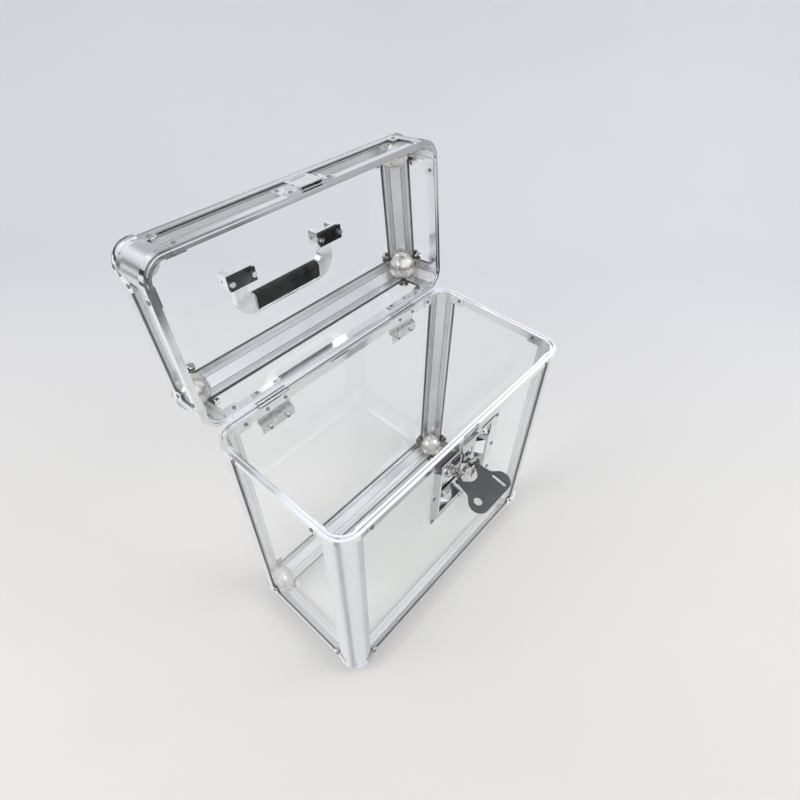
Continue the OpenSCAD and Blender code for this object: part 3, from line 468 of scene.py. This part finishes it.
chrome = make_plated("cap_chrome_plate", (0.88, 0.89, 0.91), 0.06, 0.00018)
rim_chrome = make_plated("rim_corner_chrome_plate", (0.86, 0.87, 0.89), 0.07, 0.00015)
latch_chrome = make_plated("latch_chrome_plate", (0.90, 0.905, 0.92), 0.045, 0.00016, 0.04)
handle_chrome = make_plated("handle_chrome_plate", (0.90, 0.905, 0.92), 0.10, 0.0003)
nickel_pearl = make_plated("pearl_nickel_plate", (0.80, 0.775, 0.72), 0.22, 0.0003, 0.05)
nickel_warm = make_plated("warm_nickel_plate", (0.82, 0.80, 0.745), 0.09, 0.0003)
hinge_nickel = make_plated("satin_nickel_plate", (0.82, 0.82, 0.815), 0.24, 0.0002, 0.05,
                           brushed=(1.0, 1.0, 0.05))
zinc = make_plated("zinc_rivet", (0.34, 0.34, 0.34), 0.16, 0.0004)
screw_bright = make_plated("bright_screw", (0.88, 0.88, 0.89), 0.08, 0.0002)
plate_dark = make_plated("dark_plate", (0.05, 0.05, 0.055), 0.10, 0.0005,
                         tint=(0.16, 0.16, 0.17))
print("materials in the file:", len(bpy.data.materials))

# %% [markdown]
# ## Paint, plastic and rubber
#
# The wing key is die cast and powder coated in dark grey, so it is matt,
# with an orange peel too fine to see one by one and a little polish where
# fingers turn it. The grip is smooth black plastic and the gaskets are
# grey rubber. A plain black stands for thin gaps and deep shadow. All four
# are ordinary non-metal surfaces with their detail in bump and roughness.


# %% Powder coat, black plastic and rubber
def make_coated(name, colour, lighter, rough, peel, peel_scale, shine=0.5):
    n = Nodes(name)
    cloudy = n.noise(45.0, 4.0, 0.6)
    shade = n.mix(n.span(cloudy, 0.35, 0.7), colour, lighter)
    roughness = n.span(n.noise(90.0, 3.0), 0.3, 0.7, rough - 0.07, rough + 0.07)
    return n.surface(shade, 0.0, roughness, n.bump(n.noise(peel_scale, 2.0), peel, 0.5), shine)


powder_grey = make_coated("powder_grey", (0.075, 0.076, 0.080), (0.10, 0.10, 0.105),
                          0.50, 0.0001, 1400.0)
grip_black = make_coated("grip_black_plastic", (0.005, 0.005, 0.006), (0.010, 0.010, 0.011),
                         0.28, 0.00006, 700.0, 0.10)
dish_black = make_coated("dish_shadow_black", (0.006, 0.006, 0.007), (0.014, 0.014, 0.015),
                         0.22, 0.0001, 500.0, 0.3)
gasket_grey = make_coated("gasket_rubber", (0.27, 0.273, 0.28), (0.35, 0.353, 0.36),
                          0.55, 0.0001, 900.0)
print("materials in the file:", len(bpy.data.materials))

# %% [markdown]
# ## Finishes onto the CAD pieces
#
# Most pieces already have their real shape, so they only need a finish.
# The slot that the record gives each node says which one. The extrusions
# and rims also need the direction they run in, which their names tell.

# %% Assign
FINISH = {
    "acrylic": acrylic, "rim_corner_chrome": rim_chrome, "cap_chrome": chrome,
    "ball_nickel": nickel_pearl, "rivet_steel": zinc, "hinge_steel": hinge_nickel,
    "latch_chrome": latch_chrome, "hub_nickel": nickel_warm, "wing_grey": powder_grey,
    "handle_chrome": handle_chrome, "plate_black": plate_dark, "screw_bright": screw_bright,
    "grip_black": grip_black,
}
node_slot = {s["node"]: s["material_slot"] for s in frame["record"]["subparts"]}


def long_axis(name):
    """The direction an edge runs in; the lid stands open, so its y and z trade places."""
    if "post" in name:
        return "y" if name.startswith("lid") else "z"
    if name.endswith(("front", "back")):
        return "x"
    return "z" if name.startswith("lid") else "y"


for name, node in nodes.items():
    slot_name = node_slot[name]
    if slot_name == "frame_aluminium":
        finish = satin[long_axis(name)]
    elif slot_name == "rim_aluminium":
        finish = bright[long_axis(name)]
    else:
        finish = FINISH[slot_name]
    node.data.materials.clear()
    node.data.materials.append(finish)
print("finishes on", len(nodes), "nodes")

# %% [markdown]
# ## Softened edges
#
# Real sheet, die-cast and extruded edges are never razor sharp. A bevel
# modifier rounds them by a few tenths of a millimetre, and more on the
# handle, so that they catch a line of light. The CAD mesh itself stays as
# it is.

# %% Edge rounding
EDGE_ANGLE = math.radians(32)
SHEET_SLOTS = ("rim_aluminium", "rim_corner_chrome", "latch_chrome", "hinge_steel",
               "hub_nickel")


def soften(name, width_mm, segments=3):
    edge = nodes[name].modifiers.new("rounded_edges", "BEVEL")
    edge.width = width_mm / 1000
    edge.segments = segments
    edge.limit_method = "ANGLE"
    edge.angle_limit = EDGE_ANGLE
    edge.use_clamp_overlap = True


for name in nodes:
    if node_slot[name] in SHEET_SLOTS:
        soften(name, 0.7 if "corners" in name else 0.35)
soften("handle_brackets", 0.8)
soften("handle_screws", 0.7)
soften("handle_grip", 0.8)
soften("wing_key", 0.5, segments=2)
print("softened:", sum(1 for n in nodes.values() if n.modifiers))

# %% [markdown]
# ## Thin bars along the frame
#
# Much of the look of such a case comes from thin lines: the grey gasket
# that seals each panel into its extrusion, outside and inside, and the fine
# die grooves along the inner flanges, whose shade is painted as thin black
# bars. All of them are long bars, so one helper draws a bar with cut corners
# between two points. The body's and the lid's frames are the same tray, so
# each bar is described once, by its distances from a corner, and placed twice.

# %% Bars and the tray's frame
LENGTH, WIDTH, BODY, LID, FOOT = 0.364, 0.184, 0.324, 0.068, 0.0022
LEG, HINGE_BACK, OPEN = 0.026, 0.0027, math.radians(96.5)
hinge_line = Vector((0, WIDTH / 2 + HINGE_BACK, BODY))
lid_turn = (Matrix.Translation(hinge_line) @ Matrix.Rotation(-OPEN, 4, "X")
            @ Matrix.Translation(-hinge_line))
x_axis, y_axis, z_axis = Vector((1, 0, 0)), Vector((0, 1, 0)), Vector((0, 0, 1))


def body_point(p):
    return Vector((p[0], p[1], p[2] + FOOT))


def lid_point(p):
    return lid_turn @ Vector((p[0], p[1], BODY + LID - p[2]))


def add_bar(bm, a, b, side, rise, width, height, corner=0.3):
    """A bar from a to b, width along side and height along rise, with cut corners."""
    w, h = width / 2, height / 2
    c = min(w, h) * corner
    ring = ((w, h - c), (w - c, h), (c - w, h), (-w, h - c),
            (-w, c - h), (c - w, -h), (w - c, -h), (w, c - h))
    ends = []
    for p in (a, b):
        ends.append([bm.verts.new(p + side * u + rise * v) for u, v in ring])
    for i in range(len(ring)):
        j = (i + 1) % len(ring)
        bm.faces.new((ends[0][i], ends[0][j], ends[1][j], ends[1][i]))
    bm.faces.new(list(reversed(ends[0])))
    bm.faces.new(ends[1])


def finish_piece(bm, name, material, body, smooth=35.0):
    """Turns a bmesh into a piece with a finish that rides on a body."""
    bmesh.ops.recalc_face_normals(bm, faces=bm.faces)
    mesh = bpy.data.meshes.new(name)
    bm.to_mesh(mesh)
    bm.free()
    piece = bpy.data.objects.new(name, mesh)
    scene.collection.objects.link(piece)
    mesh.materials.append(material)
    mesh.shade_smooth()
    mesh.set_sharp_from_angle(angle=math.radians(smooth))
    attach(piece, body)
    print(name, "on", body, "faces:", len(mesh.polygons))


# %% [markdown]
# ## Gaskets and die grooves
#
# For an edge of the tray, u and v are the distances from its two faces.
# The outer gasket lies beside the outer skin, at u = 26 mm, and the inner
# one beside the inner flange. The die grooves lie on the inner flanges,
# 14.6 and 21.2 mm from the corner, and start clear of the corner caps; each
# is a thin black bar that paints the shade inside the groove. On the posts
# each line stops its own distance below the tray's open end.

# %% Gaskets and grooves
OUTER_V, INNER_V, GROOVE_V = (0.0002, 0.00128), (0.0043, 0.0053), (0.00535, 0.0056)
THIN_SEAL, SEAL = (LEG, LEG + 0.00025), (LEG, LEG + 0.0005)
NEAR_GROOVE, FAR_GROOVE = (0.0146, 0.01495), (0.0212, 0.0214)
GROOVE_START = 0.0318
OUTER_STOP, INNER_STOP, BAND_STOP = 0.0082, 0.0106, 0.0128
EDGE_SIDE = {"post": x_axis, "x": y_axis, "y": x_axis}


def bar_ends(kind, u, v, start, top):
    """Both ends of a bar, as distances from the tray's corner."""
    if kind == "post":
        return (u, v, start), (u, v, top)
    if kind == "x":
        return (start, u, v), (LENGTH - start, u, v)
    return (u, start, v), (u, WIDTH - start, v)


def edge_bars(bm, point, top, kind, bars):
    """Bars along the posts, or along the tray's bottom edges in x or y."""
    side = (point(EDGE_SIDE[kind]) - point((0, 0, 0))).normalized()
    for sx in (-1, 1):
        for sy in (-1, 1):
            if (kind == "x" and sx > 0) or (kind == "y" and sy > 0):
                continue
            for (u0, u1), (v0, v1), start, stop in bars:
                ends = [point((sx * (LENGTH / 2 - x), sy * (WIDTH / 2 - y), z))
                        for x, y, z in bar_ends(kind, (u0 + u1) / 2, (v0 + v1) / 2,
                                                start, top - stop)]
                rise = (ends[1] - ends[0]).normalized().cross(side).normalized()
                add_bar(bm, *ends, side, rise, u1 - u0, v1 - v0)


def make_lines(name, point, top, body, bars, material):
    """Every bar on one face of the edges, and again on the other face."""
    both_faces = [bar for u, v, start, stop in bars
                  for bar in ((u, v, start, stop), (v, u, start, stop))]
    bm = bmesh.new()
    for kind in EDGE_SIDE:
        edge_bars(bm, point, top, kind, both_faces)
    finish_piece(bm, name, material, body)


gaskets = ((THIN_SEAL, OUTER_V, LEG, OUTER_STOP), (SEAL, INNER_V, LEG, INNER_STOP))
# the die grooves' bars are black: they paint the shade inside each groove
grooves = ((NEAR_GROOVE, GROOVE_V, GROOVE_START, BAND_STOP),
           (FAR_GROOVE, GROOVE_V, GROOVE_START, INNER_STOP))
for body, point, top in (("case", body_point, BODY - FOOT), ("lid", lid_point, LID)):
    make_lines(body + "_gaskets", point, top, body, gaskets, gasket_grey)
    make_lines(body + "_die_groove_shadows", point, top, body, grooves, dish_black)

# %% [markdown]
# ## Inside the latch
#
# The dish is a deep pressing with flat facets in its corners, a lip around
# its mouth and a curved guide above the hub. Its facets face different
# ways, so each mirrors another part of the room: that is what breaks the
# chrome into black and silver pieces. The two long slots in the top edge
# of the plate are dark inside, and a black bar in each paints that shade.
# Points are given for the right half of the dish, and the left half
# mirrors them.

# %% Slot linings and facets
PLATE_Y, DISH_Y = -0.09195, -0.07795
DISH_LOW, DISH_HIGH, MOUTH, HUB_Z = 0.218, 0.302, 0.042, 0.256
SLOT_CENTRE, SLOT_HALF, SLOT_SIZE = (0.035, PLATE_Y + 0.0007, 0.3076), 0.0125, (0.0006, 0.0028)
FACET_THICK = 0.0004
# the corner facet's z is measured from the low or the high end of the dish
CORNER_FACET = ((0.0404, PLATE_Y + 0.0012, 0.0200), (0.0210, PLATE_Y + 0.0012, 0.0015),
                (0.0310, DISH_Y - 0.0003, 0.0105))
SIDE_FACET = ((0.0402, PLATE_Y + 0.0014, 0.272), (0.0402, PLATE_Y + 0.0014, 0.248),
              (0.0290, DISH_Y - 0.0004, 0.252), (0.0290, DISH_Y - 0.0004, 0.268))


def mirrored(points, sx, sz=1, base_z=0.0):
    return [Vector((sx * x, y, base_z + sz * z)) for x, y, z in points]


# painted shade: a black bar inside each slot of the plate
bm = bmesh.new()
for sx in (-1, 1):
    (centre,) = mirrored([SLOT_CENTRE], sx)
    reach = x_axis * SLOT_HALF
    add_bar(bm, centre - reach, centre + reach, y_axis, z_axis, *SLOT_SIZE)
finish_piece(bm, "latch_slot_shadows", dish_black, "case")


def add_plate(bm, points, thick):
    """A flat plate from its corner points, thickened along its own normal."""
    corners = [Vector(point) for point in points]
    normal = (corners[1] - corners[0]).cross(corners[2] - corners[0]).normalized() * thick
    low = [bm.verts.new(c) for c in corners]
    high = [bm.verts.new(c + normal) for c in corners]
    bm.faces.new(low)
    bm.faces.new(list(reversed(high)))
    for i in range(len(corners)):
        j = (i + 1) % len(corners)
        bm.faces.new((low[j], low[i], high[i], high[j]))


bm = bmesh.new()
for sx in (-1, 1):
    for sz, end_z in ((1, DISH_LOW), (-1, DISH_HIGH)):
        add_plate(bm, mirrored(CORNER_FACET, sx, sz, end_z), FACET_THICK * sx * sz)
    add_plate(bm, mirrored(SIDE_FACET, sx), FACET_THICK * sx)
finish_piece(bm, "dish_facets", latch_chrome, "case", 20.0)

# %% [markdown]
# Black bars at the foot of the walls paint the shade in the dish's steps,
# and thin black plates paint the shade on its walls, which gives the dish
# its depth. Short ribs catch the light on the side walls, and a rounded lip
# frames the mouth. The lip is open at the top, where the hook rises.

# %% Steps, walls and lip
STEP_Y, STEP_THICK = DISH_Y - 0.0006, 0.0008
STEP_X, STEP_WIDTH, STEP_ENDS = 0.0362, 0.0046, (DISH_LOW + 0.013, DISH_HIGH - 0.012)
UPPER_STEP, UPPER_Z, UPPER_WIDTH = (0.0240, 0.0350), 0.2955, 0.0060
LOWER_HALF, LOWER_Z, LOWER_WIDTH = 0.030, DISH_LOW + 0.0075, 0.0036
SHADOW_THICK = 0.0003
RIB_HEIGHTS, RIB_SIZE = (0.2765, 0.2825, 0.2885), (0.0008, 0.0006)
RIB = ((0.0400, PLATE_Y + 0.0018, 0.0), (0.0352, DISH_Y - 0.0012, -0.0012))
LIP, HOOK_GAP = (0.0018, 0.0012, 0.6), 0.0138
LOW_SHADOW = ((-0.0385, PLATE_Y + 0.0016, DISH_LOW + 0.0012),
              (0.0385, PLATE_Y + 0.0016, DISH_LOW + 0.0012),
              (0.0325, DISH_Y - 0.0005, DISH_LOW + 0.0066),
              (-0.0325, DISH_Y - 0.0005, DISH_LOW + 0.0066))
SIDE_SHADOW = ((0.0406, PLATE_Y + 0.0016, 0.300), (0.0406, PLATE_Y + 0.0016, 0.274),
               (0.0356, DISH_Y - 0.0005, 0.270), (0.0356, DISH_Y - 0.0005, 0.294))


def add_front_bar(bm, start, end, y, width, thick, corner=0.3):
    """An upright or level bar facing the front, between two points in x and z."""
    side = x_axis if start[0] == end[0] else z_axis
    add_bar(bm, Vector((start[0], y, start[1])), Vector((end[0], y, end[1])),
            side, y_axis, width, thick, corner)


# painted shade: black bars at the foot of the dish's walls
bm = bmesh.new()
for sx in (-1, 1):
    add_front_bar(bm, (sx * STEP_X, STEP_ENDS[0]), (sx * STEP_X, STEP_ENDS[1]),
                  STEP_Y, STEP_WIDTH, STEP_THICK)
    add_front_bar(bm, (sx * UPPER_STEP[0], UPPER_Z), (sx * UPPER_STEP[1], UPPER_Z),
                  STEP_Y, UPPER_WIDTH, STEP_THICK)
add_front_bar(bm, (-LOWER_HALF, LOWER_Z), (LOWER_HALF, LOWER_Z),
              STEP_Y, LOWER_WIDTH, STEP_THICK)
finish_piece(bm, "dish_step_shadows", dish_black, "case")

# painted shade: thin black plates on the dish's low and side walls
bm = bmesh.new()
add_plate(bm, LOW_SHADOW, SHADOW_THICK)
for sx in (-1, 1):
    add_plate(bm, mirrored(SIDE_SHADOW, sx), SHADOW_THICK * sx)
finish_piece(bm, "dish_wall_shadows", dish_black, "case")

bm = bmesh.new()
for sx in (-1, 1):
    for z in RIB_HEIGHTS:
        add_bar(bm, *mirrored(RIB, sx, base_z=z), z_axis, x_axis, *RIB_SIZE)
finish_piece(bm, "dish_wall_ribs", latch_chrome, "case")

bm = bmesh.new()
for sx in (-1, 1):
    add_front_bar(bm, (sx * MOUTH, DISH_LOW), (sx * MOUTH, DISH_HIGH), PLATE_Y, *LIP)
    add_front_bar(bm, (sx * HOOK_GAP, DISH_HIGH), (sx * MOUTH, DISH_HIGH), PLATE_Y, *LIP)
add_front_bar(bm, (-MOUTH, DISH_LOW), (MOUTH, DISH_LOW), PLATE_Y, *LIP)
finish_piece(bm, "dish_lip", latch_chrome, "case")

# %% [markdown]
# ## The guide round the hub
#
# A black plate arches over the hub. One bright edge follows its inner
# side, another lies further out on it, and a third runs under the hub. All
# are parts of flat rings about the hub's centre.

# %% Hook guide
hub_centre = Vector((0, 0, HUB_Z))
GUIDE_RADII, GUIDE_ARC, GUIDE_Y = (0.0185, 0.0318), (18, 162), (DISH_Y - 0.0024, DISH_Y - 0.0004)
EDGE_RADII, EDGE_HALF, EDGE_ARC = (0.0182, 0.0265), 0.0005, (14, 166)
EDGE_Y = (DISH_Y - 0.0032, DISH_Y - 0.0003)
UNDER_RADII, UNDER_ARC, UNDER_Y = (0.0160, 0.0172), (180, 360), (DISH_Y - 0.0030, DISH_Y - 0.0003)


def add_arc_plate(bm, radii, arc, depths, steps=28):
    """Part of a flat ring round the hub, from one angle in degrees to another."""
    start, end = (math.radians(angle) for angle in arc)
    (inner, outer), (y0, y1) = radii, depths
    rings = []
    for i in range(steps + 1):
        a = start + (end - start) * i / steps
        out = Vector((math.cos(a), 0, math.sin(a)))
        rings.append([bm.verts.new(hub_centre + out * radius + y_axis * y)
                      for radius, y in ((inner, y0), (inner, y1), (outer, y1), (outer, y0))])
    for one, two in zip(rings, rings[1:]):
        for k in range(4):
            m = (k + 1) % 4
            bm.faces.new((one[k], one[m], two[m], two[k]))
    bm.faces.new(rings[0])
    bm.faces.new(list(reversed(rings[-1])))


bm = bmesh.new()
add_arc_plate(bm, GUIDE_RADII, GUIDE_ARC, GUIDE_Y)
finish_piece(bm, "hook_guide", dish_black, "case", 30.0)

bm = bmesh.new()
for radius in EDGE_RADII:
    add_arc_plate(bm, (radius - EDGE_HALF, radius + EDGE_HALF), EDGE_ARC, EDGE_Y)
add_arc_plate(bm, UNDER_RADII, UNDER_ARC, UNDER_Y)
finish_piece(bm, "hook_guide_edges", latch_chrome, "case", 30.0)

# %% [markdown]
# ## Hub rings
#
# The hub is turned, so it carries a few plain rings. A ring is a small
# round profile turned about the hub's axis.

# %% Hub rings
# each ring's radius, the radius of its profile, and its y
HUB_RINGS = ((0.0076, 0.0011, -0.0865), (0.0076, 0.0008, -0.0905),
             (0.0110, 0.0009, -0.0845), (0.0146, 0.0007, -0.0812))


def add_ring(bm, radius, thick, y, around=40, across=10):
    rows = []
    for i in range(around):
        a = 2 * math.pi * i / around
        out = Vector((math.cos(a), 0, math.sin(a)))
        row = []
        for k in range(across):
            b = 2 * math.pi * k / across
            row.append(bm.verts.new(hub_centre + out * (radius + thick * math.cos(b))
                                    + y_axis * (y + thick * math.sin(b))))
        rows.append(row)
    for i in range(around):
        j = (i + 1) % around
        for k in range(across):
            m = (k + 1) % across
            bm.faces.new((rows[i][k], rows[i][m], rows[j][m], rows[j][k]))


bm = bmesh.new()
for radius, thick, y in HUB_RINGS:
    add_ring(bm, radius, thick, y)
finish_piece(bm, "hub_rings", screw_bright, "hub", 60.0)

# %% [markdown]
# ## Rim seams and the line under the rim
#
# The rolled corner pieces meet the straight rims in a fine butt joint, 30
# mm from the corner, and under the outer flange lies the edge of its
# sealing strip. Both show as thin dark lines that give the rim its crisp
# outline; the black line under the flange also paints the shadow that the
# flange casts there. In front and behind, the line leaves room for the hook
# in the middle, and no line stands on the faces where the two rims meet. The
# lid's lines are drawn for the shut lid, and then turned open with it.

# %% Rim seams
RIM_OUT, SEAM_AT, FLANGE, HOOK_ROOM = 0.0015, 0.030, 0.008, 0.0145
LINE_OUT, LINE_GAP, UNDER_LINE = 0.0002, 0.0003, (0.0006, 0.0005)
SEAM_END, SEAM_LINE = 0.0006, (0.0003, 0.0002)
seam_x, seam_y = LENGTH / 2 - SEAM_AT, WIDTH / 2 - SEAM_AT
for body, turn, away in (("case", Matrix.Identity(4), -1), ("lid", lid_turn, 1)):
    bm = bmesh.new()
    top, bottom = BODY + away * SEAM_END, BODY + away * FLANGE
    # the black line under the flange is the strip's edge together with painted shadow under the
    # flange
    under = BODY + away * (FLANGE + LINE_GAP)
    for s in (-1, 1):
        x, y = s * (LENGTH / 2 + LINE_OUT), s * (WIDTH / 2 + LINE_OUT)
        rim_x, rim_y = s * (LENGTH / 2 + RIM_OUT), s * (WIDTH / 2 + RIM_OUT)
        add_bar(bm, Vector((x, -seam_y, under)), Vector((x, seam_y, under)),
                x_axis, z_axis, *UNDER_LINE)
        for e in (-1, 1):
            add_bar(bm, Vector((e * HOOK_ROOM, y, under)), Vector((e * seam_x, y, under)),
                    y_axis, z_axis, *UNDER_LINE)
            add_bar(bm, Vector((e * seam_x, rim_y, top)), Vector((e * seam_x, rim_y, bottom)),
                    x_axis, y_axis, *SEAM_LINE)
            add_bar(bm, Vector((rim_x, e * seam_y, top)), Vector((rim_x, e * seam_y, bottom)),
                    y_axis, x_axis, *SEAM_LINE)
    bmesh.ops.transform(bm, matrix=turn, verts=bm.verts)
    finish_piece(bm, body + "_rim_lines", dish_black, body)

# %% [markdown]
# ## Hinge slots
#
# Each knuckle turns in a slot cut in the two rims. On the body's rim the
# slot reads as a dark outline round the knuckle, which stands two
# hundredths of a millimetre proud so that it isn't buried in the metal.

# %% Hinge slots
HINGE_X, KNUCKLE_HALF, KNUCKLE_Y = 0.105, 0.0195, (0.0882, 0.0917)
SLOT_LINE, SLOT_SUNK = (0.0006, 0.0002), 0.00008
bm = bmesh.new()
for s in (-1, 1):
    middle = Vector((s * HINGE_X, 0.0, BODY - SLOT_SUNK))
    for y in KNUCKLE_Y:
        add_bar(bm, middle + Vector((-KNUCKLE_HALF, y, 0)),
                middle + Vector((KNUCKLE_HALF, y, 0)), y_axis, z_axis, *SLOT_LINE)
    for e in (-1, 1):
        front, back = (middle + Vector((e * KNUCKLE_HALF, y, 0)) for y in KNUCKLE_Y)
        add_bar(bm, front, back, x_axis, z_axis, *SLOT_LINE)
finish_piece(bm, "hinge_slots", dish_black, "case")

# %% [markdown]
# ## Trim on the grip
#
# A bright strip runs along each lower edge of the grip, front and back,
# and two short upright bars close each end. The places come from the
# grip's own box, so that they stay right if the grip is made longer.

# %% Grip trim
STRIP_UP, STRIP_IN, STRIP = 0.0016, 0.0006, (0.0007, 0.0008)
END_OUT, END_REACH, END_BAR = 0.0056, 0.0085, (0.0012, 0.0012, 0.6)
grip_low, grip_high = (Vector(corner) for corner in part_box("handle_grip"))
grip_middle = (grip_low + grip_high) / 2
strip_z = grip_low.z + STRIP_UP
bm = bmesh.new()
for y in (grip_low.y, grip_high.y):
    add_bar(bm, Vector((grip_low.x + STRIP_IN, y, strip_z)),
            Vector((grip_high.x - STRIP_IN, y, strip_z)), y_axis, z_axis, *STRIP)
for x in (grip_low.x, grip_high.x):
    for s in (-1, 1):
        centre = Vector((x, grip_middle.y + s * END_OUT, grip_middle.z))
        reach = z_axis * END_REACH
        add_bar(bm, centre - reach, centre + reach, x_axis, y_axis, *END_BAR)
finish_piece(bm, "grip_trim", handle_chrome, "handle")
